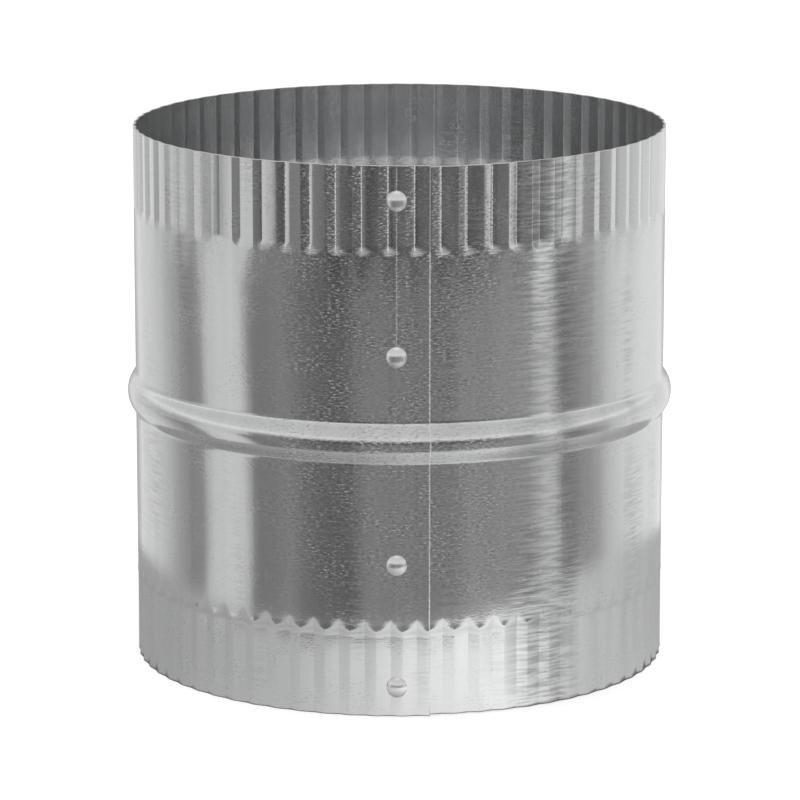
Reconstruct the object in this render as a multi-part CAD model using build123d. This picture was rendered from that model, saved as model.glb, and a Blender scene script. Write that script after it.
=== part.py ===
from math import asin, cos, degrees, pi, radians, sin
import os

from build123d import *

# Sleeve, in millimetres
BODY_DIAMETER = 150.3
LENGTH = 152.4
SHEET = 0.5

# Lap seam at the front, measured each way from the line of rivets
LAP_TO_OUTER_EDGE = 9.1
LAP_TO_INNER_EDGE = 16.3
LAP_GAP = 0.1

# Stop bead round the middle, its arc in flat bands
BEAD_HEIGHT = 2.3
BEAD_WIDTH = 11.4
BEAD_BANDS = 4

# Crimped flutes at both ends, where the panel right of each valley carries the end rivet
FLUTES = 66
FLUTE_DEPTH = 0.5
CRIMP_LENGTH = 23.0
RUN_OUT = 4.0
RUN_OUT_STEP = 0.06
UPPER_PANEL = 4.6
LOWER_PANEL = 3.2
SMALLEST_PANEL = 0.05

# Rivets of the seam
RIVET_SHANK = 3.0
HOLE_CLEARANCE = 0.05
PUNCH_LENGTH = 4.0
DOME_DIAMETER = 5.7
DOME_HEIGHT = 1.7
FLAT_HEAD_DIAMETER = 5.6
FLAT_HEAD_HEIGHT = 0.8
UPPER_END_RIVET_INSET = 9.6
UPPER_WALL_RIVET_FROM_BEAD = 24.1
LOWER_WALL_RIVET_FROM_BEAD = 33.6
LOWER_END_RIVET_INSET = 8.2

# The sheet is rolled on two centres, so that its left half ends one layer further out at the front
LAYER = SHEET + LAP_GAP
RIGHT_RADIUS = BODY_DIAMETER / 2
LEFT_RADIUS = RIGHT_RADIUS + LAYER / 2
LEFT_CENTRE = -LAYER / 2
OUTER_EDGE = degrees(LAP_TO_OUTER_EDGE / LEFT_RADIUS)
INNER_EDGE = -degrees(LAP_TO_INNER_EDGE / RIGHT_RADIUS)

# Heights and angles that follow from the sizes
BEAD_MIDDLE = LENGTH / 2
WALL_LOW = CRIMP_LENGTH + RUN_OUT
WALL_HIGH = LENGTH - WALL_LOW
FLUTE_ANGLE = 360 / FLUTES
FLUTE_SPACING = pi * BODY_DIAMETER / FLUTES
FLAT_HEAD_RELIEF = FLAT_HEAD_DIAMETER**2 / 8 / (RIGHT_RADIUS - SHEET)


def on_sheet(side, angle, inset):
    """A point on one half of the sheet, its angle running rightwards from the line of rivets."""
    radius = (LEFT_RADIUS if side == "left" else RIGHT_RADIUS) - inset
    centre = LEFT_CENTRE if side == "left" else 0
    return radius * sin(radians(angle)), centre - radius * cos(radians(angle))


def flute_inset(angle, panel):
    """How far the flutes draw the sheet in: none at a ridge, their full depth at a valley."""
    share = panel / FLUTE_SPACING
    phase = (angle / FLUTE_ANGLE + share / 2) % 1
    if phase < share:
        return FLUTE_DEPTH * (1 - phase / share)
    return FLUTE_DEPTH * (phase - share) / (1 - share)


def creases(start, end, panel):
    """All creases between two angles, with both of these, from right to left."""
    half_panel = panel / FLUTE_SPACING / 2
    least = degrees(SMALLEST_PANEL / RIGHT_RADIUS)
    angles = {start, end}
    for flute in range(-FLUTES, FLUTES + 1):
        for crease in (flute - half_panel, flute + half_panel):
            angle = crease * FLUTE_ANGLE
            if end + least < angle < start - least:
                angles.add(angle)
    return sorted(angles, reverse=True)


def sheet_line(panel):
    """The creases of both halves, from the lap's outer edge round the back to its inner edge."""
    left = [("left", angle) for angle in creases(OUTER_EDGE, -180, panel)]
    right = [("right", angle) for angle in creases(180, INNER_EDGE, panel)]
    return left + right[1:]


def ring(panel, height, outer_insets, inner_insets):
    """The sheet cut across: its outer side there and its inner side back."""
    line = sheet_line(panel)
    outside = [(*on_sheet(*place, inset), height) for place, inset in zip(line, outer_insets)]
    inside = [(*on_sheet(*place, inset), height) for place, inset in zip(line, inner_insets)]
    return outside + inside[::-1]


def polygon(*points):
    return Face(Wire.make_polygon(points))


def crimped_end(panel, rim, root, wall):
    """Straight flutes from the rim to their root, then pointed run-outs that flatten into the wall."""
    depths = [flute_inset(angle, panel) for _, angle in sheet_line(panel)]
    backs = [depth + SHEET for depth in depths]
    ends = ring(panel, rim, depths, backs)
    roots = ring(panel, root, depths, backs)
    tips = ring(panel, wall, [RUN_OUT_STEP] * len(depths), [SHEET - RUN_OUT_STEP] * len(depths))
    depths += depths[::-1]
    faces = [polygon(*ends), polygon(*tips)]
    for here in range(len(depths)):
        there = here - 1
        deep, high = (here, there) if depths[here] > depths[there] else (there, here)
        faces.append(polygon(ends[here], ends[there], roots[there], roots[here]))
        faces.append(polygon(roots[deep], roots[high], tips[deep]))
        faces.append(polygon(roots[high], tips[high], tips[deep]))
    return Solid(Shell(faces))


def wall_profile(radius):
    """The plain wall and its bead, cut along the axis, the bead's arc in flat bands."""
    bead_radius = (BEAD_WIDTH**2 / 4 + BEAD_HEIGHT**2) / (2 * BEAD_HEIGHT)
    half_turn = asin(BEAD_WIDTH / 2 / bead_radius)
    outside = [(radius, 0, WALL_LOW)]
    for band in range(BEAD_BANDS + 1):
        turn = half_turn * (2 * band / BEAD_BANDS - 1)
        rise = bead_radius * (cos(turn) - cos(half_turn))
        outside.append((radius + rise, 0, BEAD_MIDDLE + bead_radius * sin(turn)))
    outside.append((radius, 0, WALL_HIGH))
    inside = [(x - SHEET, y, z) for x, y, z in outside]
    return polygon(*outside, *inside[::-1])


def beaded_wall():
    right = revolve(wall_profile(RIGHT_RADIUS), Axis.Z, 180 - INNER_EDGE)
    left = revolve(wall_profile(LEFT_RADIUS), Axis.Z, 180 + OUTER_EDGE)
    return Rot(0, 0, INNER_EDGE - 90) * right + Pos(0, LEFT_CENTRE, 0) * Rot(0, 0, 90) * left


def wall_seat(height):
    """Where a rivet is set on the plain wall, its Z axis pointing out of the sheet."""
    x, y = on_sheet("left", 0, 0)
    return Plane(origin=(x, y, height), x_dir=(0, 0, 1), z_dir=(0, -1, 0))


def panel_seat(height, panel):
    """Where a rivet is set in the middle of a flute's panel."""
    half_panel = panel / FLUTE_SPACING * FLUTE_ANGLE / 2
    valley = Vector(*on_sheet("left", -half_panel, FLUTE_DEPTH), height)
    ridge = Vector(*on_sheet("left", half_panel, 0), height)
    across = ridge - valley
    return Plane(origin=(valley + ridge) * 0.5, x_dir=(0, 0, 1), z_dir=(across.Y, -across.X, 0))


def rivet_blank():
    """A set dome outside, a shank through both layers and a flat head inside."""
    inner_seat = -LAYER - SHEET - FLAT_HEAD_RELIEF
    bottom = inner_seat - FLAT_HEAD_HEIGHT
    rim = DOME_DIAMETER / 2
    sphere = (rim**2 + DOME_HEIGHT**2) / (2 * DOME_HEIGHT)
    half_turn = asin(rim / sphere) / 2
    dome_middle = (sphere * sin(half_turn), 0, DOME_HEIGHT - sphere + sphere * cos(half_turn))
    sides = Polyline(
        (0, 0, DOME_HEIGHT),
        (0, 0, bottom),
        (FLAT_HEAD_DIAMETER / 2, 0, bottom),
        (FLAT_HEAD_DIAMETER / 2, 0, inner_seat),
        (RIVET_SHANK / 2, 0, inner_seat),
        (RIVET_SHANK / 2, 0, 0),
        (rim, 0, 0),
    )
    dome = ThreePointArc((rim, 0, 0), dome_middle, (0, 0, DOME_HEIGHT))
    return revolve(Face(Wire(sides.edges() + dome.edges())), Axis.Z, 360)


# Sleeve: one sheet, crimped at both ends of its beaded wall
sleeve = beaded_wall()
sleeve += crimped_end(LOWER_PANEL, 0, CRIMP_LENGTH, WALL_LOW)
sleeve += crimped_end(UPPER_PANEL, LENGTH, LENGTH - CRIMP_LENGTH, WALL_HIGH)

# Rivet holes through both layers of the lap
end_seats = [
    panel_seat(LENGTH - UPPER_END_RIVET_INSET, UPPER_PANEL),
    panel_seat(LOWER_END_RIVET_INSET, LOWER_PANEL),
]
wall_seats = [
    wall_seat(BEAD_MIDDLE + UPPER_WALL_RIVET_FROM_BEAD),
    wall_seat(BEAD_MIDDLE - LOWER_WALL_RIVET_FROM_BEAD),
]
for seat in end_seats + wall_seats:
    sleeve -= seat * Cylinder(RIVET_SHANK / 2 + HOLE_CLEARANCE, PUNCH_LENGTH)

# Rivets, those at the ends bedded to the flutes beside their panels
rivets = [seat * rivet_blank() for seat in wall_seats]
for seat in end_seats:
    bedded = seat * rivet_blank() - sleeve
    rivets.append(max(bedded.solids(), key=lambda solid: solid.volume))

os.makedirs("parts", exist_ok=True)
export_step(sleeve.solids()[0], "parts/sleeve.step")
export_step(Compound(children=rivets), "parts/seam_rivets.step")
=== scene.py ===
import math

import bmesh
import bpy
from mathutils import Matrix, Vector, noise


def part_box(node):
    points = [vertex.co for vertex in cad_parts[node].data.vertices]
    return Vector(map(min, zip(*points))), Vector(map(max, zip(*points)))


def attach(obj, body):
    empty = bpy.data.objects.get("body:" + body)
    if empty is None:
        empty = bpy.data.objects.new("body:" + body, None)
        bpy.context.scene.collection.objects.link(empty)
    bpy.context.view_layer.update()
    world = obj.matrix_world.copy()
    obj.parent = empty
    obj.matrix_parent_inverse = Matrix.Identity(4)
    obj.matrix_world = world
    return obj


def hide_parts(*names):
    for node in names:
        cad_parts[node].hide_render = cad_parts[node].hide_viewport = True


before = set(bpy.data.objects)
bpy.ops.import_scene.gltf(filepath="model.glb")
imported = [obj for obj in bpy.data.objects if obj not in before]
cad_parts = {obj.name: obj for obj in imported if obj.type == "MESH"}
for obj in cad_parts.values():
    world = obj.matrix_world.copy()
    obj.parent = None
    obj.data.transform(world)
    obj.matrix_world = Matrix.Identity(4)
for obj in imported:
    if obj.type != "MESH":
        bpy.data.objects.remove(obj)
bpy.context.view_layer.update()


# Sleeve. One strip of bright galvanised steel sheet, crimped into flutes along both long edges and
# beaded along its middle, then rolled up until its ends lap at the front. All of its edges are sheared.
MM = 0.001
sleeve_low, sleeve_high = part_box("sleeve")
LENGTH = sleeve_high.z - sleeve_low.z
SHEET = 0.5 * MM
LAYER = 0.6 * MM
BEAD_HEIGHT = 2.28 * MM
BEAD_CROWN = 7.0 * MM
BEAD_ROOT = 1.2 * MM
BEAD_MIDDLE = LENGTH / 2
RIGHT_RADIUS = 75.15 * MM
LEFT_RADIUS = RIGHT_RADIUS + LAYER / 2
LEFT_CENTRE = -LAYER / 2
LAP_TO_OUTER_EDGE = 9.1 * MM
LAP_TO_INNER_EDGE = 16.3 * MM
FLUTES = 66
FLUTE_ANGLE = 360 / FLUTES
FLUTE_SPACING = 2 * math.pi * RIGHT_RADIUS / FLUTES
FLUTE_DEPTH = 0.5 * MM
UPPER_PANEL = 4.6 * MM
LOWER_PANEL = 3.2 * MM
CRIMP_LENGTH = 23.0 * MM
UPPER_RUN_OUT = 3.4 * MM
UPPER_RUN_OUT_LEAD = 1.4 * MM
LOWER_RUN_OUT = 5.0 * MM
LOWER_RUN_OUT_LEAD = 1.0 * MM
LOWER_RUN_OUT_TAPER = 2.0
TONGUE_ROUNDING = 0.2
TONGUE_ROUNDING_ONSET = 4
RUN_OUT_SOFTNESS = 0.04 * MM
GATHER = 0.1 * MM
GATHER_REACH = 1.4 * MM
GATHER_CENTRE = 0.6
PINCH = 0.11 * MM
PINCH_END = 0.5 * MM
PINCH_AWAY_FROM_LAP = 0.2
BURR = 0.07 * MM
BURR_RUN_IN = 1.0 * MM
SCUFFED_REACH = 17
SCUFFS_RUN_IN = 1.0 * MM
WIDE_PANEL_SCUFFS = 0.3
PLAIN_WALL_SCUFFS = 0.8
FOLD = 0.2 * MM
UPPER_EDGE = 0.15 * MM
LOWER_EDGE = 0.25 * MM
LAP_EDGE = 0.45 * MM
BUCKLE = 0.035 * MM
BUCKLES_PER_METRE = 42
BUCKLE_STRETCH = 0.35
BUCKLE_FREE = 3 * BEAD_HEIGHT
INNER_END_SHORT_ABOVE = 0.5 * MM
INNER_END_SHORT_BELOW = 0.3 * MM
INNER_END_REACH = 70

# Columns and rows of the strip's mesh
PANEL_STATIONS = (0.35, 0.65)
SPARE_FLUTES = 5
FIRST_FLUTE_ROW = 5.0 * MM
BEAD_ROWS_REACH = 6.5 * MM
FLUTE_ROWS = 2
RUN_OUT_ROWS = 11
WALL_ROWS = 4
BEAD_ROWS = 8

# Angles run rightwards from the line of rivets, from the inner end of the strip round to its outer end
OUTER_END = math.degrees(LAP_TO_OUTER_EDGE / LEFT_RADIUS)
INNER_END = -360 - math.degrees(LAP_TO_INNER_EDGE / RIGHT_RADIUS)
LAP_EDGE_ANGLE = math.degrees(LAP_EDGE / LEFT_RADIUS)
BACK = -180


def smooth_step(value, low, high):
    share = min(max((value - low) / (high - low), 0), 1)
    return share * share * (3 - 2 * share)


def flute_stations(panel):
    """Columns across one flute in shares of its width: both folds, and the panels between them."""
    share = panel / FLUTE_SPACING
    fold = FOLD / FLUTE_SPACING
    valley, ridge = -share / 2, share / 2
    groove = [valley - fold, valley - fold / 2, valley, valley + fold / 2, valley + fold]
    rising = [valley + station * share for station in PANEL_STATIONS]
    falling = [ridge + station * (1 - share) for station in PANEL_STATIONS]
    return groove + rising + [ridge - fold, ridge, ridge + fold] + falling


def blank_columns():
    """Each column's angle at the lower and at the upper edge of the strip."""
    columns = [(INNER_END, INNER_END)]
    least = math.degrees(FOLD / RIGHT_RADIUS)
    lap_edge = OUTER_END - LAP_EDGE_ANGLE
    for flute in range(-FLUTES - SPARE_FLUTES, SPARE_FLUTES):
        for low, high in zip(flute_stations(LOWER_PANEL), flute_stations(UPPER_PANEL)):
            low_angle = (flute + low) * FLUTE_ANGLE
            high_angle = (flute + high) * FLUTE_ANGLE
            inside = min(low_angle, high_angle) > INNER_END + least
            if inside and max(low_angle, high_angle) < lap_edge - least:
                columns.append((low_angle, high_angle))
    return columns + [(lap_edge, lap_edge), (OUTER_END, OUTER_END)]


def spaced(low, high, count):
    return [low + (high - low) * step / count for step in range(count)]


def blank_rows():
    """Heights of the rows, close together over the run-outs and the bead."""
    bead = BEAD_MIDDLE - BEAD_ROWS_REACH

    def from_rim(edge, start, end):
        flutes = [0, edge] + spaced(FIRST_FLUTE_ROW, start, FLUTE_ROWS) + spaced(start, end, RUN_OUT_ROWS)
        return flutes + spaced(end, bead, WALL_ROWS) + spaced(bead, BEAD_MIDDLE, BEAD_ROWS)

    lower = from_rim(LOWER_EDGE, CRIMP_LENGTH - LOWER_RUN_OUT_LEAD, CRIMP_LENGTH + LOWER_RUN_OUT)
    upper_start = CRIMP_LENGTH - UPPER_RUN_OUT_LEAD
    upper = from_rim(UPPER_EDGE, upper_start, upper_start + UPPER_RUN_OUT)
    return lower + [BEAD_MIDDLE] + [LENGTH - height for height in reversed(upper)]


def bead_rise(height):
    reach = BEAD_CROWN + BEAD_ROOT
    half_width = math.sqrt(2 * reach * BEAD_HEIGHT - BEAD_HEIGHT**2)
    away = abs(height - BEAD_MIDDLE)
    if away > half_width:
        return 0
    if away > half_width * BEAD_CROWN / reach:
        return BEAD_ROOT - math.sqrt(BEAD_ROOT**2 - (half_width - away) ** 2)
    return BEAD_HEIGHT - BEAD_CROWN + math.sqrt(BEAD_CROWN**2 - away**2)


def across_flute(angle, height):
    """Where an angle lies across its flute: none on a ridge, one along the bottom of a valley."""
    share = (UPPER_PANEL if height > BEAD_MIDDLE else LOWER_PANEL) / FLUTE_SPACING
    phase = (angle / FLUTE_ANGLE + share / 2) % 1
    return 1 - phase / share if phase < share else (phase - share) / (1 - share)


def past_crimp(height):
    """Distance from the end of the crimping towards the middle, less than none on the flutes."""
    return min(height, LENGTH - height) - CRIMP_LENGTH


def flute_inset(angle, height):
    """How far the crimping draws the sheet in, with each valley run out to a rounded tip."""
    depth = across_flute(angle, height)
    past = past_crimp(height)
    if height > BEAD_MIDDLE:
        raised = max((past + UPPER_RUN_OUT_LEAD) / UPPER_RUN_OUT, 0)
        inset = FLUTE_DEPTH * (1 - math.hypot(1 - depth, raised))
        return (inset + math.hypot(inset, RUN_OUT_SOFTNESS)) / 2
    raised = max(past / LOWER_RUN_OUT, 0)
    blunted = 1 - math.hypot(1 - depth, TONGUE_ROUNDING * min(TONGUE_ROUNDING_ONSET * raised, 1))
    inset = FLUTE_DEPTH * (blunted - raised * (1 + LOWER_RUN_OUT_TAPER * (1 - depth)))
    bulge = max(1 - (past / GATHER_REACH - GATHER_CENTRE) ** 2, 0) ** 2
    return (inset + math.hypot(inset, RUN_OUT_SOFTNESS)) / 2 - GATHER * bulge * max(1 - 2 * depth, 0)


def near_lap(angle):
    """One beside the line of rivets, where the blades meet two layers, down to none further round."""
    return 1 - smooth_step(min(abs(angle), abs(angle + 360)), SCUFFED_REACH, 2 * SCUFFED_REACH)


def pinch(angle, height):
    """Share of the sharp groove that the blades press along an upper valley, deepest near the lap."""
    share = UPPER_PANEL / FLUTE_SPACING
    phase = (angle / FLUTE_ANGLE + share / 2 + 0.5) % 1 - 0.5
    across = max(1 - abs(phase) * FLUTE_SPACING / FOLD, 0)
    root = LENGTH - CRIMP_LENGTH
    pressed = PINCH_AWAY_FROM_LAP + (1 - PINCH_AWAY_FROM_LAP) * near_lap(angle)
    return across * pressed * smooth_step(height, root, root + PINCH_END)


def lap_burr(angle, height):
    """The lifted edge of the lap, which the crimping presses flat."""
    lifted = smooth_step(angle, OUTER_END - LAP_EDGE_ANGLE, OUTER_END)
    return lifted * smooth_step(past_crimp(height), 0, BURR_RUN_IN)


def blade_scuffs(angle, height):
    """Scuffs of crimping and riveting near the lap, most on the narrow panels of the upper flutes."""
    share = UPPER_PANEL / FLUTE_SPACING
    phase = (angle / FLUTE_ANGLE + share / 2) % 1
    fold = FOLD / FLUTE_SPACING
    narrow = smooth_step(phase, share, share + fold) - smooth_step(phase, 1 - fold, 1)
    root = LENGTH - CRIMP_LENGTH
    fluted = smooth_step(height, root - SCUFFS_RUN_IN, root)
    plain = smooth_step(height, CRIMP_LENGTH, 2 * CRIMP_LENGTH) * (1 - fluted)
    panels = WIDE_PANEL_SCUFFS + (1 - WIDE_PANEL_SCUFFS) * narrow
    return near_lap(angle) * (panels * fluted + PLAIN_WALL_SCUFFS * plain)


def on_sheet(angle, inset, height):
    """A point on the rolled strip, whose left half lies one layer further out at the front."""
    radius = (LEFT_RADIUS if angle > BACK else RIGHT_RADIUS) - inset
    centre = LEFT_CENTRE if angle > BACK else 0
    turn = math.radians(angle)
    return Vector((radius * math.sin(turn), centre - radius * math.cos(turn), height))


def rolled(angle, height):
    """A point of the finished strip, with its slight buckles and its short inner end."""
    inset = flute_inset(angle, height) + PINCH * pinch(angle, height)
    inset -= bead_rise(height) + BURR * lap_burr(angle, height)
    place = on_sheet(angle, inset, height)
    plain = 1 - smooth_step(abs(height - BEAD_MIDDLE), BEAD_MIDDLE - CRIMP_LENGTH, BEAD_MIDDLE)
    plain *= smooth_step(abs(height - BEAD_MIDDLE), 0, BUCKLE_FREE)
    buckle = noise.noise(Vector((place.x, place.y, place.z * BUCKLE_STRETCH)) * BUCKLES_PER_METRE)
    inset += BUCKLE * plain * (1 + buckle)
    drawn_in = 1 - smooth_step(angle, INNER_END, INNER_END + INNER_END_REACH)
    below = INNER_END_SHORT_BELOW * (1 - height / LENGTH)
    above = INNER_END_SHORT_ABOVE * height / LENGTH
    return on_sheet(angle, inset, height + drawn_in * (below - above))


columns = blank_columns()
rows = blank_rows()
shell = bmesh.new()
bmesh.ops.create_grid(shell, x_segments=len(columns) - 1, y_segments=len(rows) - 1, size=1)
blank_map = shell.loops.layers.uv.new("blank")
fold_rub_and_highlight = shell.verts.layers.float.new("fold_rub_and_highlight")
blade_scuff = shell.verts.layers.float.new("blade_scuff")
for vert in shell.verts:
    low_angle, high_angle = columns[round((vert.co.x + 1) / 2 * (len(columns) - 1))]
    height = rows[round((vert.co.y + 1) / 2 * (len(rows) - 1))]
    lean = smooth_step(height, CRIMP_LENGTH + LOWER_RUN_OUT, LENGTH - CRIMP_LENGTH - UPPER_RUN_OUT)
    vert.co = (low_angle + (high_angle - low_angle) * lean, height, 0)
for face in shell.faces:
    face.smooth = True
    for loop in face.loops:
        angle, height, _ = loop.vert.co
        loop[blank_map].uv = (math.radians(angle) * RIGHT_RADIUS, height)
# Mask of the rubbed folds and lap edge, which the sheet's material paints near-white: partly real rubbing,
# partly a painted highlight
for vert in shell.verts:
    vert[fold_rub_and_highlight] = max(pinch(vert.co.x, vert.co.y), lap_burr(vert.co.x, vert.co.y))
    vert[blade_scuff] = blade_scuffs(vert.co.x, vert.co.y)
    vert.co = rolled(vert.co.x, vert.co.y)


def piece_from(shape, name, *materials):
    mesh = bpy.data.meshes.new(name)
    shape.to_mesh(mesh)
    shape.free()
    piece = bpy.data.objects.new(name, mesh)
    bpy.context.scene.collection.objects.link(piece)
    for material in materials:
        mesh.materials.append(material)
    return piece


def add_node(tree, kind, **values):
    """A node with its settings, inputs and links: an input's value is a number, a colour or a socket."""
    made = tree.nodes.new(kind)
    for name, value in values.items():
        if hasattr(made, name):
            setattr(made, name, value)
            continue
        target = made.inputs[name.replace("_", " ")]
        if isinstance(value, bpy.types.NodeSocket):
            tree.links.new(value, target)
        else:
            target.default_value = value
    return made


def reckon(tree, operation, *values):
    """The result of one sum, its terms numbers or sockets."""
    made = tree.nodes.new("ShaderNodeMath")
    made.operation = operation
    for target, value in zip(made.inputs, values):
        if isinstance(value, bpy.types.NodeSocket):
            tree.links.new(value, target)
        else:
            target.default_value = value
    return made.outputs["Value"]


def spread(tree, value, low, high, start=0.0, end=1.0):
    """A value's range from low to high, clamped and spread from start to end."""
    made = add_node(tree, "ShaderNodeMapRange", Value=value, From_Min=low, From_Max=high, To_Min=start,
                    To_Max=end)
    return made.outputs["Result"]


def new_group(name, inputs, outputs):
    group = bpy.data.node_groups.new(name, "ShaderNodeTree")
    for socket, kind in inputs:
        group.interface.new_socket(socket, in_out="INPUT", socket_type=kind)
    for socket, kind in outputs:
        group.interface.new_socket(socket, in_out="OUTPUT", socket_type=kind)
    return group, group.nodes.new("NodeGroupInput"), group.nodes.new("NodeGroupOutput")


def new_material(name):
    material = bpy.data.materials.new(name)
    material.use_nodes = True
    tree = material.node_tree
    tree.nodes.clear()
    shader = tree.nodes.new("ShaderNodeBsdfPrincipled")
    output = tree.nodes.new("ShaderNodeOutputMaterial")
    tree.links.new(shader.outputs["BSDF"], output.inputs["Surface"])
    return material, tree, shader


def zinc_bloom_group():
    """Frosty mottling of a zinc skin: a cloudy mask and a fine grain."""
    group, given, made = new_group(
        "zinc_bloom",
        [
            ("Vector", "NodeSocketVector"),
            ("Cloud Scale", "NodeSocketFloat"),
            ("Grain Scale", "NodeSocketFloat"),
        ],
        [("Cloud", "NodeSocketFloat"), ("Grain", "NodeSocketFloat")],
    )
    cloud = add_node(group, "ShaderNodeTexNoise", Vector=given.outputs["Vector"],
                     Scale=given.outputs["Cloud Scale"], Detail=4.0, Roughness=0.6)
    grain = add_node(group, "ShaderNodeTexNoise", Vector=given.outputs["Vector"],
                     Scale=given.outputs["Grain Scale"], Detail=2.0, Roughness=0.55)
    group.links.new(cloud.outputs["Fac"], made.inputs["Cloud"])
    group.links.new(grain.outputs["Fac"], made.inputs["Grain"])
    return group


ZINC = (0.82, 0.825, 0.83, 1)
DULL_ZINC = (0.42, 0.425, 0.43, 1)
# Near-white of the scribed line and rubbed zinc, also of the painted highlights on the folds and the painted
# glints in the flecks
BRIGHT_MARK_AND_GLINT = (0.97, 0.97, 0.97, 1)
SHEET_CLOUDS = 90.0
SHEET_GRAIN = 1700.0
SHEET_METALLIC = 0.945
SHEET_ROUGHNESS = 0.12
FROST_ROUGHNESS = 0.12
MARK_AND_GLINT_ROUGHNESS = 0.35
MARK_AND_GLINT_METALLIC_LOSS = 0.75
TROUGH_DULLNESS = 0.4
STREAK_DULLNESS = 0.13
DARK_FLECK_DULLNESS = 0.9
RIPPLE_HEIGHT = 0.04 * MM
GRAIN_HEIGHT = 0.005 * MM
SPECK_HEIGHT = 0.05 * MM

# Noise along and across the strip, as the number of waves in a metre, and where each is taken from
RIPPLES = (110.0, 1000.0, 1.0), (0.0, 0.0, 0.0)
RIPPLE_PATCHES = (62.0, 12.0, 1.0), (3.0, 1.0, 0.0)
STREAKS = (150.0, 3.0, 1.0), (7.0, 5.0, 0.0)
FLECKS = (850.0, 2200.0, 1.0), (1.0, 4.0, 0.0)

# The strongest ripples lie right of the seam, away from the bead, and the scribed line on the upper wall
RIPPLED_PATCH = -RIGHT_RADIUS * math.radians(360 - 33)
PATCH_CORE = 5.0 * MM
PATCH_REACH = 14.0 * MM
PATCH_STRENGTH = 1.7
PATCH_BY_BEAD = 0.55
PATCH_WEAK_WITHIN = 12.0 * MM
PATCH_FULL_BEYOND = 42.0 * MM
SCRIBED_HALF_WIDTH = 0.2 * MM
SCRIBED_FAINT_BELOW = BEAD_MIDDLE + 18 * MM
SCRIBED_FULL_ABOVE = BEAD_MIDDLE + 30 * MM
SCRIBED_FAINT = 0.25
zinc_bloom = zinc_bloom_group()


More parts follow.
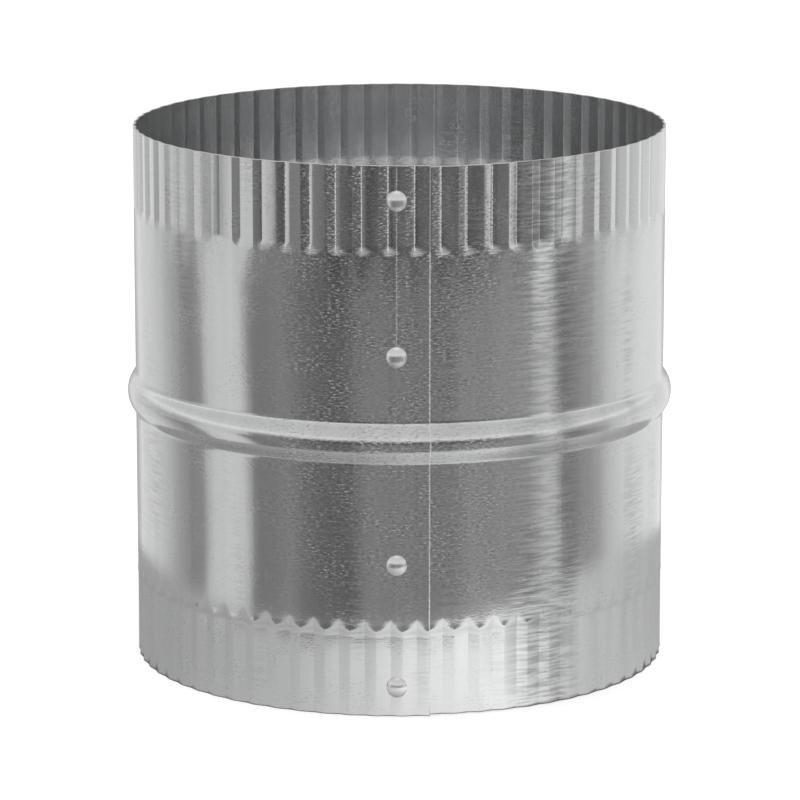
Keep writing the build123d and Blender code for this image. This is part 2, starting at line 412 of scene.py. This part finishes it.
def galvanised_sheet():
    material, tree, shader = new_material("galvanised_sheet")
    blank = add_node(tree, "ShaderNodeUVMap", uv_map="blank").outputs["UV"]
    place = add_node(tree, "ShaderNodeSeparateXYZ", Vector=blank)
    bloom = add_node(tree, "ShaderNodeGroup", node_tree=zinc_bloom, Vector=blank,
                     Cloud_Scale=SHEET_CLOUDS, Grain_Scale=SHEET_GRAIN)

    def stretched_noise(scale, shift, detail):
        laid = add_node(tree, "ShaderNodeMapping", Vector=blank, Scale=scale, Location=shift)
        return add_node(tree, "ShaderNodeTexNoise", Vector=laid.outputs["Vector"], Scale=1.0, Detail=detail,
                        Roughness=0.55).outputs["Fac"]

    # Ripples that the rolling mill leaves along the strip, stronger in some patches, and streaks across it
    ripple = stretched_noise(*RIPPLES, 3.0)
    rippled = spread(tree, stretched_noise(*RIPPLE_PATCHES, 2.0), 0.54, 0.74, 0.06, 1.0)
    from_patch = reckon(tree, "ABSOLUTE", reckon(tree, "SUBTRACT", place.outputs["X"], RIPPLED_PATCH))
    from_middle = reckon(tree, "ABSOLUTE", reckon(tree, "SUBTRACT", place.outputs["Y"], BEAD_MIDDLE))
    patch = reckon(tree, "MULTIPLY", spread(tree, from_patch, PATCH_CORE, PATCH_REACH, PATCH_STRENGTH, 0.0),
                   spread(tree, from_middle, PATCH_WEAK_WITHIN, PATCH_FULL_BEYOND, PATCH_BY_BEAD, 1.0))
    rippled = reckon(tree, "MAXIMUM", rippled, patch)
    troughs = spread(tree, ripple, 0.43, 0.57, 1.0, 0.0)
    streak = spread(tree, stretched_noise(*STREAKS, 2.0), 0.35, 0.65)

    # Frosted specks, thick where the zinc is cloudy or scuffed, whose light flecks are painted glints and
    # whose dark flecks are duller colour; the line scribed for the rivets; and the rubbed folds and lap edge,
    # whose near-white is partly real rubbing and partly a painted highlight
    scuffed = add_node(tree, "ShaderNodeAttribute", attribute_name="blade_scuff").outputs["Fac"]
    rub_and_highlight = add_node(tree, "ShaderNodeAttribute", attribute_name="fold_rub_and_highlight").outputs["Fac"]
    flecks = stretched_noise(*FLECKS, 3.0)
    cloudy = spread(tree, bloom.outputs["Cloud"], 0.46, 0.64, 0.05, 0.45)
    patchy = spread(tree, bloom.outputs["Cloud"], 0.38, 0.6, 0.35, 1.0)
    frost = reckon(tree, "MAXIMUM", cloudy, reckon(tree, "MULTIPLY", scuffed, patchy))
    frosted = reckon(tree, "MULTIPLY", spread(tree, flecks, 0.5, 0.66, 0.0, 1.0), frost)
    # Painted glints: light flecks of near-white where the frosted zinc would glint
    painted_glints = reckon(tree, "MULTIPLY", spread(tree, flecks, 0.52, 0.68, 0.0, 0.42), frost)
    dark_flecks = reckon(tree, "MULTIPLY", spread(tree, flecks, 0.34, 0.46, 1.0, 0.0), frost)
    from_rivets = reckon(tree, "ABSOLUTE", place.outputs["X"])
    scribed = reckon(tree, "LESS_THAN", from_rivets, SCRIBED_HALF_WIDTH)
    scribed = reckon(tree, "MULTIPLY", scribed, spread(tree, bloom.outputs["Grain"], 0.4, 0.58, 0.04, 0.4))
    above = spread(tree, place.outputs["Y"], SCRIBED_FAINT_BELOW, SCRIBED_FULL_ABOVE, SCRIBED_FAINT, 1.0)
    scribed = reckon(tree, "MULTIPLY", scribed, above)
    rub_and_highlight = reckon(tree, "MULTIPLY", rub_and_highlight, spread(tree, bloom.outputs["Grain"], 0.4, 0.54, 0.15, 1.0))
    marks_and_glints = reckon(tree, "MAXIMUM", reckon(tree, "MAXIMUM", scribed, rub_and_highlight), painted_glints)

    dull = reckon(tree, "MULTIPLY", reckon(tree, "MULTIPLY", troughs, rippled), TROUGH_DULLNESS)
    dull = reckon(tree, "MULTIPLY_ADD", streak, STREAK_DULLNESS, dull)
    dull = reckon(tree, "MULTIPLY_ADD", dark_flecks, DARK_FLECK_DULLNESS, dull)
    worn = add_node(tree, "ShaderNodeMixRGB", Fac=dull, Color1=ZINC, Color2=DULL_ZINC)
    # Real marks and painted highlights and glints all take the same near-white
    colour = add_node(tree, "ShaderNodeMixRGB", Fac=marks_and_glints, Color1=worn.outputs["Color"], Color2=BRIGHT_MARK_AND_GLINT)
    rough = reckon(tree, "MULTIPLY_ADD", frosted, FROST_ROUGHNESS, SHEET_ROUGHNESS)
    rough = reckon(tree, "MULTIPLY_ADD", marks_and_glints, MARK_AND_GLINT_ROUGHNESS, rough)
    relief = reckon(tree, "MULTIPLY", reckon(tree, "MULTIPLY", ripple, rippled), RIPPLE_HEIGHT)
    pits = reckon(tree, "MULTIPLY", reckon(tree, "MULTIPLY", flecks, frost), SPECK_HEIGHT)
    relief = reckon(tree, "ADD", relief, pits)
    relief = reckon(tree, "MULTIPLY_ADD", bloom.outputs["Grain"], GRAIN_HEIGHT, relief)
    surface = add_node(tree, "ShaderNodeBump", Height=relief, Strength=1.0, Distance=1.0)
    tree.links.new(colour.outputs["Color"], shader.inputs["Base Color"])
    tree.links.new(rough, shader.inputs["Roughness"])
    tree.links.new(surface.outputs["Normal"], shader.inputs["Normal"])
    metallic = reckon(tree, "MULTIPLY_ADD", marks_and_glints, -MARK_AND_GLINT_METALLIC_LOSS, SHEET_METALLIC)
    tree.links.new(metallic, shader.inputs["Metallic"])
    return material


SHEARED_STEEL = (0.62, 0.62, 0.62, 1)
SHEARED_CLOUDS = 300.0
SHEARED_GRAIN = 2500.0
SHEARED_ROUGHNESS = 0.28, 0.5
SHEARED_BURR = 0.02 * MM


def sheared_edge():
    material, tree, shader = new_material("sheared_edge")
    place = add_node(tree, "ShaderNodeTexCoord")
    bloom = add_node(tree, "ShaderNodeGroup", node_tree=zinc_bloom, Vector=place.outputs["Object"],
                     Cloud_Scale=SHEARED_CLOUDS, Grain_Scale=SHEARED_GRAIN)
    gloss = spread(tree, bloom.outputs["Cloud"], 0.0, 1.0, *SHEARED_ROUGHNESS)
    burr = add_node(tree, "ShaderNodeBump", Height=bloom.outputs["Grain"], Strength=1.0,
                    Distance=SHEARED_BURR)
    shader.inputs["Base Color"].default_value = SHEARED_STEEL
    shader.inputs["Metallic"].default_value = 1.0
    tree.links.new(gloss, shader.inputs["Roughness"])
    tree.links.new(burr.outputs["Normal"], shader.inputs["Normal"])
    return material


sleeve = piece_from(shell, "sleeve_sheet", galvanised_sheet(), sheared_edge())
gauge = sleeve.modifiers.new("sheet_gauge", "SOLIDIFY")
gauge.thickness = SHEET
gauge.offset = -1
gauge.use_even_offset = True
gauge.material_offset_rim = 1
solid = bpy.data.meshes.new_from_object(sleeve.evaluated_get(bpy.context.evaluated_depsgraph_get()))
solid.name = "sleeve_sheet_solid"
sleeve.modifiers.clear()
sleeve.data = solid
for polygon in solid.polygons:
    polygon.use_smooth = polygon.material_index == 0
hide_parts("sleeve")
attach(sleeve, "root")


# Seam rivets. Four plated steel rivets pushed through both layers of the lap, with a low dome set up
# outside and a flat head inside. The two at the ends sit on the slope of a flute's panel.
SHANK_RADIUS = 1.5 * MM
DOME_RADIUS = 2.82 * MM
DOME_HEIGHT = 1.62 * MM
DOME_EDGE = 0.22 * MM
FLAT_HEAD_RADIUS = 2.8 * MM
FLAT_HEAD_HEIGHT = 0.8 * MM
FLAT_HEAD_RELIEF = 0.05 * MM
DOME_EDGE_BULGE = 0.03 * MM
DOME_EDGE_UNDERCUT = 0.04 * MM
FLAT_HEAD_SEAT_BREAK = 0.1 * MM
FLAT_HEAD_SEAT_DROP = 0.12 * MM
FLAT_HEAD_ROUNDING = 0.15 * MM
UPPER_END_RIVET_INSET = 9.6 * MM
UPPER_WALL_RIVET_FROM_BEAD = 24.1 * MM
LOWER_WALL_RIVET_FROM_BEAD = 33.6 * MM
LOWER_END_RIVET_INSET = 8.2 * MM
DOME_STEPS = 9
RIVET_STEPS = 40
MERGE_DISTANCE = 0.005 * MM
SHARP_EDGE = 50
rivet_seats = [
    (LENGTH - UPPER_END_RIVET_INSET, UPPER_PANEL),
    (BEAD_MIDDLE + UPPER_WALL_RIVET_FROM_BEAD, None),
    (BEAD_MIDDLE - LOWER_WALL_RIVET_FROM_BEAD, None),
    (LOWER_END_RIVET_INSET, LOWER_PANEL),
]


def rivet_outline():
    """A rivet's radii and heights, from the top of its dome down to the middle of its flat head."""
    rise = DOME_HEIGHT - DOME_EDGE
    sphere = (DOME_RADIUS**2 + rise**2) / (2 * rise)
    half_turn = math.asin(DOME_RADIUS / sphere)
    crown = []
    for step in range(DOME_STEPS + 1):
        turn = half_turn * step / DOME_STEPS
        crown.append((sphere * math.sin(turn), DOME_HEIGHT - sphere * (1 - math.cos(turn))))
    edge = [(DOME_RADIUS + DOME_EDGE_BULGE, 0.5 * DOME_EDGE), (DOME_RADIUS - DOME_EDGE_UNDERCUT, 0)]
    head = -LAYER - SHEET - FLAT_HEAD_RELIEF
    inside = [
        (SHANK_RADIUS, 0),
        (SHANK_RADIUS, head),
        (FLAT_HEAD_RADIUS - FLAT_HEAD_SEAT_BREAK, head),
        (FLAT_HEAD_RADIUS, head - FLAT_HEAD_SEAT_DROP),
        (FLAT_HEAD_RADIUS, head - FLAT_HEAD_HEIGHT + FLAT_HEAD_ROUNDING),
        (FLAT_HEAD_RADIUS - FLAT_HEAD_ROUNDING, head - FLAT_HEAD_HEIGHT),
        (0, head - FLAT_HEAD_HEIGHT),
    ]
    return crown + edge + inside


def rivet_place(height, panel):
    """The frame of a rivet's seat, its Z axis pointing out of the sheet."""
    if panel is None:
        seat = on_sheet(0, 0, height)
        across = Vector((1, 0, 0))
    else:
        half_panel = panel / FLUTE_SPACING * FLUTE_ANGLE / 2
        valley = on_sheet(-half_panel, FLUTE_DEPTH, height)
        ridge = on_sheet(half_panel, 0, height)
        seat = (valley + ridge) / 2
        across = (ridge - valley).normalized()
    up = Vector((0, 0, 1))
    out = across.cross(up)
    return Matrix.Translation(seat) @ Matrix((across, up, out)).transposed().to_4x4()


def add_rivet(shape):
    line = [shape.verts.new((radius, 0, rise)) for radius, rise in rivet_outline()]
    edges = [shape.edges.new(pair) for pair in zip(line, line[1:])]
    bmesh.ops.spin(shape, geom=line + edges, cent=(0, 0, 0), axis=(0, 0, 1), angle=2 * math.pi,
                   steps=RIVET_STEPS, use_merge=True)


rivets = bmesh.new()
for height, panel in rivet_seats:
    known = set(rivets.verts)
    add_rivet(rivets)
    fresh = [vert for vert in rivets.verts if vert not in known]
    bmesh.ops.transform(rivets, matrix=rivet_place(height, panel), verts=fresh)
bmesh.ops.remove_doubles(rivets, verts=rivets.verts[:], dist=MERGE_DISTANCE)
bmesh.ops.recalc_face_normals(rivets, faces=rivets.faces[:])
for face in rivets.faces:
    face.smooth = True
for edge in rivets.edges:
    if edge.calc_face_angle(0) > math.radians(SHARP_EDGE):
        edge.smooth = False


PLATED_STEEL = (0.92, 0.92, 0.92, 1)
PLATED_METALLIC = 0.94
PLATED_CLOUDS = 700.0
PLATED_GRAIN = 3000.0
PLATED_ROUGHNESS = 0.22, 0.34
PLATED_MARKS = 0.01 * MM


def plated_steel():
    material, tree, shader = new_material("plated_steel")
    place = add_node(tree, "ShaderNodeTexCoord")
    bloom = add_node(tree, "ShaderNodeGroup", node_tree=zinc_bloom, Vector=place.outputs["Object"],
                     Cloud_Scale=PLATED_CLOUDS, Grain_Scale=PLATED_GRAIN)
    gloss = spread(tree, bloom.outputs["Cloud"], 0.0, 1.0, *PLATED_ROUGHNESS)
    marks = add_node(tree, "ShaderNodeBump", Height=bloom.outputs["Grain"], Strength=1.0,
                     Distance=PLATED_MARKS)
    shader.inputs["Base Color"].default_value = PLATED_STEEL
    shader.inputs["Metallic"].default_value = PLATED_METALLIC
    tree.links.new(gloss, shader.inputs["Roughness"])
    tree.links.new(marks.outputs["Normal"], shader.inputs["Normal"])
    return material


seam_rivets = piece_from(rivets, "seam_rivet_set", plated_steel())
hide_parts("seam_rivets")
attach(seam_rivets, "root")


# Studio. A white table, and round it a tent of glowing greys and whites that only the metal mirrors, painted
# reflections of a studio, dark on the side of the lens. Soft lamps over the table give the faint shadow round
# the sleeve's foot.
TABLE_SIZE = 12.0
TABLE_DROP = 0.05 * MM
TABLE_GREY = (0.8, 0.8, 0.8, 1)
TABLE_GLOW = 0.45
TABLE_GLOW_IN_METAL = 0.33
TENT_RADIUS = 1.0
TENT_MOUTH = 0.155
TENT_MOUTH_BLUR = 0.97, 1.07
TENT_FAN = 0.58
TENT_LEAN = 5
TENT_LEAN_FROM, TENT_LEAN_TO = 0.23, 0.65
FAR_PANELS_FROM, FAR_PANELS_TO = 0.755, 0.785
SKY_FROM, SKY_TO = 0.12, 0.3
TENT_ARC_STEPS = 12
TENT_TURN_STEPS = 96
TENT_MERGE_DISTANCE = 0.1 * MM
MAT_GLEAM_SLANT = 0.1, 0.75
MAT_GLEAM = 0.55, 1.0
MAT_SHADE = 0.2
MAT_SQUEEZE = 0.85
MAT_SHIFT = 0.018
MAT_INNER_RADIUS = 0.0745
MAT_SHADE_RADIUS = 0.0768
TENT_LIFT = -0.02 * MM
LENS_TURN = 0.7
# Greys of the glowing tent, painted reflections for the metal: beside the sleeve, far off, and overhead by
# height
tent_panels = [
    (-180, 0.42), (-166, 0.5), (-158, 0.78), (-142, 0.7), (-128, 0.6), (-116, 0.38), (-106, 0.24),
    (-98, 0.24), (-93, 0.6), (-85, 0.66), (-74, 0.63), (-69, 0.17), (-60, 0.17), (-53, 0.22), (-44, 0.125),
    (-27, 0.085), (-19, 0.205), (0, 0.18), (17, 0.18), (27, 0.26), (36, 0.22), (54, 0.31),
    (60, 0.5), (66, 0.58), (72, 0.2), (78, 0.22), (88, 0.3), (99, 0.55), (112, 0.74),
    (156, 0.85), (166, 0.5), (180, 0.42),
]
far_panels = [
    (-180, 0.42), (-166, 0.5), (-158, 0.78), (-142, 0.7), (-120, 0.5), (-106, 0.4), (-97, 0.42), (-86, 0.62),
    (-67, 0.57), (-63, 0.2), (-48, 0.18), (-37, 0.1), (-26, 0.02), (-14, 0.06), (0, 0.07), (10, 0.08),
    (21, 0.05), (37, 0.12), (48, 0.2), (56, 0.24), (60, 0.75), (66, 0.8), (72, 0.3), (86, 0.35), (99, 0.55),
    (129, 0.75), (156, 0.85), (166, 0.5), (180, 0.42),
]
# Greys of the mat round the sleeve: painted light and shadow of the floor, brightest in front
mat_painted_light_and_shadow = [
    (-180, 0.37), (-111, 0.39), (-85, 0.44), (-63, 0.5), (-44, 0.55), (-26, 0.66), (-12, 0.78), (0, 0.9),
    (20, 1.0), (33, 1.08), (44, 0.9), (54, 0.72), (64, 0.63), (98, 0.57), (129, 0.5), (180, 0.4),
]
sky_panels = [
    (0.0, 0.5), (0.18, 0.72), (0.3, 0.86), (0.42, 0.64), (0.62, 0.58), (0.85, 0.56), (0.93, 0.66),
    (0.97, 1.05), (1.0, 1.5),
]


def white_for_the_lens(tree):
    """One where a ray comes from the lens, a mirror or glass, else none."""
    ray = tree.nodes.new("ShaderNodeLightPath")
    lens_or_mirror = reckon(tree, "MAXIMUM", ray.outputs["Is Camera Ray"], ray.outputs["Is Glossy Ray"])
    return reckon(tree, "MAXIMUM", lens_or_mirror, ray.outputs["Is Transmission Ray"])


def table_white():
    material, tree, shader = new_material("table_white")
    ray = tree.nodes.new("ShaderNodeLightPath")
    glow = reckon(tree, "MULTIPLY", ray.outputs["Is Camera Ray"], TABLE_GLOW)
    glow = reckon(tree, "MULTIPLY_ADD", ray.outputs["Is Transmission Ray"], TABLE_GLOW, glow)
    glow = reckon(tree, "MULTIPLY_ADD", ray.outputs["Is Glossy Ray"], TABLE_GLOW_IN_METAL, glow)
    tree.links.new(glow, shader.inputs["Emission Strength"])
    shader.inputs["Emission Color"].default_value = (1, 1, 1, 1)
    shader.inputs["Base Color"].default_value = TABLE_GREY
    shader.inputs["Roughness"].default_value = 1.0
    shader.inputs["Specular IOR Level"].default_value = 0.0
    return material


top = bmesh.new()
bmesh.ops.create_grid(top, x_segments=1, y_segments=1, size=TABLE_SIZE / 2)
bmesh.ops.translate(top, verts=top.verts[:], vec=(0, 0, -TABLE_DROP))
table = piece_from(top, "table", table_white())


def grey_ramp(tree, share, greys):
    """A ramp of greys, each with its place from none to one."""
    ramp = add_node(tree, "ShaderNodeValToRGB", Fac=share)
    stops = ramp.color_ramp.elements
    while len(stops) < len(greys):
        stops.new(0.5)
    for stop, (position, grey) in zip(stops, greys):
        stop.position = position
        stop.color = (grey, grey, grey, 1)
    return ramp.outputs["Color"]


def all_round(greys):
    """The same greys with their angles as shares of a turn."""
    return [((angle + 180) / 360, grey) for angle, grey in greys]


def glowing_reflection_tent():
    material = bpy.data.materials.new("glowing_reflection_tent")
    material.use_nodes = True
    tree = material.node_tree
    tree.nodes.clear()
    place = add_node(tree, "ShaderNodeTexCoord").outputs["Object"]
    parts = add_node(tree, "ShaderNodeSeparateXYZ", Vector=place)
    across, back, height = parts.outputs["X"], parts.outputs["Y"], parts.outputs["Z"]
    back_squared = reckon(tree, "MULTIPLY", back, back)
    away = reckon(tree, "SQRT", reckon(tree, "MULTIPLY_ADD", across, across, back_squared))

    # The panels fan out from the sleeve's wall, not from its axis, and lean a little
    turn = reckon(tree, "ARCTAN2", across, reckon(tree, "MULTIPLY", back, -1.0))
    fan = reckon(tree, "SINE", reckon(tree, "MULTIPLY", turn, TENT_FAN))
    nearness = reckon(tree, "DIVIDE", RIGHT_RADIUS, reckon(tree, "MAXIMUM", away, RIGHT_RADIUS))
    fan = reckon(tree, "MULTIPLY", fan, nearness)
    lean = spread(tree, away, TENT_LEAN_FROM, TENT_LEAN_TO, -math.radians(TENT_LEAN), 0.0)
    turned = reckon(tree, "ADD", reckon(tree, "ADD", turn, fan), lean)
    share = reckon(tree, "MULTIPLY_ADD", turned, 0.5 / math.pi, 0.5 - LENS_TURN / 360)
    far = spread(tree, away, FAR_PANELS_FROM, FAR_PANELS_TO)
    sides = add_node(tree, "ShaderNodeMixRGB", Fac=far, Color1=grey_ramp(tree, share, all_round(tent_panels)),
                     Color2=grey_ramp(tree, share, all_round(far_panels)))
    over = spread(tree, height, SKY_FROM, SKY_TO)
    cloth = add_node(tree, "ShaderNodeMixRGB", Fac=over, Color1=sides.outputs["Color"],
                     Color2=grey_ramp(tree, reckon(tree, "DIVIDE", height, TENT_RADIUS), sky_panels))

    # The white mat at the tent's mouth, with painted light and shadow of the floor round the sleeve, a
    # painted gleam where it is seen at a low angle, and a painted contact shadow in a thin ring at the
    # sleeve's foot
    slant = add_node(tree, "ShaderNodeLayerWeight", Blend=0.5).outputs["Facing"]
    gleam = spread(tree, slant, *MAT_GLEAM_SLANT, *MAT_GLEAM)
    shade = spread(tree, away, RIGHT_RADIUS, MAT_SHADE_RADIUS, MAT_SHADE, 1.0)
    gleam = reckon(tree, "MULTIPLY", gleam, shade)
    mat = add_node(tree, "ShaderNodeMixRGB", blend_type="MULTIPLY", Fac=1.0,
                   Color1=grey_ramp(tree, share, all_round(mat_painted_light_and_shadow)), Color2=gleam)
    squeezed = reckon(tree, "MULTIPLY", reckon(tree, "SUBTRACT", across, MAT_SHIFT), MAT_SQUEEZE)
    reach = reckon(tree, "SQRT", reckon(tree, "MULTIPLY_ADD", squeezed, squeezed, back_squared))
    mouth_start, mouth_end = (part * TENT_MOUTH for part in TENT_MOUTH_BLUR)
    on_mat = spread(tree, reach, mouth_start, mouth_end, 1.0, 0.0)
    seen = add_node(tree, "ShaderNodeMixRGB", Fac=on_mat, Color1=cloth.outputs["Color"],
                    Color2=mat.outputs["Color"])
    glow = add_node(tree, "ShaderNodeEmission", Color=seen.outputs["Color"], Strength=1.0)
    output = tree.nodes.new("ShaderNodeOutputMaterial")
    tree.links.new(glow.outputs["Emission"], output.inputs["Surface"])
    return material


tent_shape = bmesh.new()
mouth = tent_shape.verts.new((MAT_INNER_RADIUS, 0, TENT_LIFT))
foot = tent_shape.verts.new((TENT_RADIUS, 0, TENT_LIFT))
lines = [mouth, foot, tent_shape.edges.new((mouth, foot))]
last = foot
for step in range(1, TENT_ARC_STEPS + 1):
    turn = math.pi / 2 * step / TENT_ARC_STEPS
    point = tent_shape.verts.new((TENT_RADIUS * math.cos(turn), 0, TENT_LIFT + TENT_RADIUS * math.sin(turn)))
    lines += [point, tent_shape.edges.new((last, point))]
    last = point
bmesh.ops.spin(tent_shape, geom=lines, cent=(0, 0, 0), axis=(0, 0, 1), angle=2 * math.pi,
               steps=TENT_TURN_STEPS, use_merge=True)
bmesh.ops.remove_doubles(tent_shape, verts=tent_shape.verts[:], dist=TENT_MERGE_DISTANCE)
tent = piece_from(tent_shape, "tent", glowing_reflection_tent())
tent.visible_camera = False
tent.visible_diffuse = False
tent.visible_transmission = False
tent.visible_shadow = False

WORLD_FILL = 0.5
WORLD_WHITE = 1.0
world = bpy.data.worlds.new("studio")
bpy.context.scene.world = world
world.use_nodes = True
world.node_tree.nodes.clear()
plain = add_node(world.node_tree, "ShaderNodeBackground", Color=(1, 1, 1, 1), Strength=WORLD_FILL)
white = add_node(world.node_tree, "ShaderNodeBackground", Color=(1, 1, 1, 1), Strength=WORLD_WHITE)
either = add_node(world.node_tree, "ShaderNodeMixShader", Fac=white_for_the_lens(world.node_tree))
world.node_tree.links.new(plain.outputs["Background"], either.inputs[1])
world.node_tree.links.new(white.outputs["Background"], either.inputs[2])
world_output = world.node_tree.nodes.new("ShaderNodeOutputWorld")
world.node_tree.links.new(either.outputs["Shader"], world_output.inputs["Surface"])


def soft_lamp(name, place, size, power):
    lamp = bpy.data.lights.new(name, "AREA")
    lamp.shape = "SQUARE"
    lamp.size = size
    lamp.energy = power
    holder = bpy.data.objects.new(name, lamp)
    holder.location = place
    holder.rotation_mode = "QUATERNION"
    holder.rotation_quaternion = (-Vector(place)).to_track_quat("-Z", "Y")
    holder.visible_glossy = False
    bpy.context.scene.collection.objects.link(holder)


soft_lamp("lamp_over", place=(0, 0.3, 1.6), size=1.2, power=12)
soft_lamp("lamp_left", place=(-1.3, -0.5, 1.0), size=0.9, power=3)
soft_lamp("lamp_front", place=(0.5, -1.7, 0.9), size=0.9, power=9)

# Camera. A long lens a little to the right of the line of rivets, far enough off for nearly parallel
# sides and high enough to look down over the upper rim, without depth of field.
LENS = 202.9
SENSOR = 36
LENS_PLACE = Vector((15.4, -1261.2, 348.9)) * MM
LENS_AIM = Vector((0, 0, 71.98)) * MM
camera = bpy.data.objects.new("camera", bpy.data.cameras.new("camera"))
camera.data.lens = LENS
camera.data.sensor_width = SENSOR
camera.location = LENS_PLACE
camera.rotation_mode = "QUATERNION"
camera.rotation_quaternion = (LENS_AIM - LENS_PLACE).to_track_quat("-Z", "Y")
bpy.context.scene.collection.objects.link(camera)
bpy.context.scene.camera = camera
bpy.context.scene.view_settings.view_transform = "Standard"
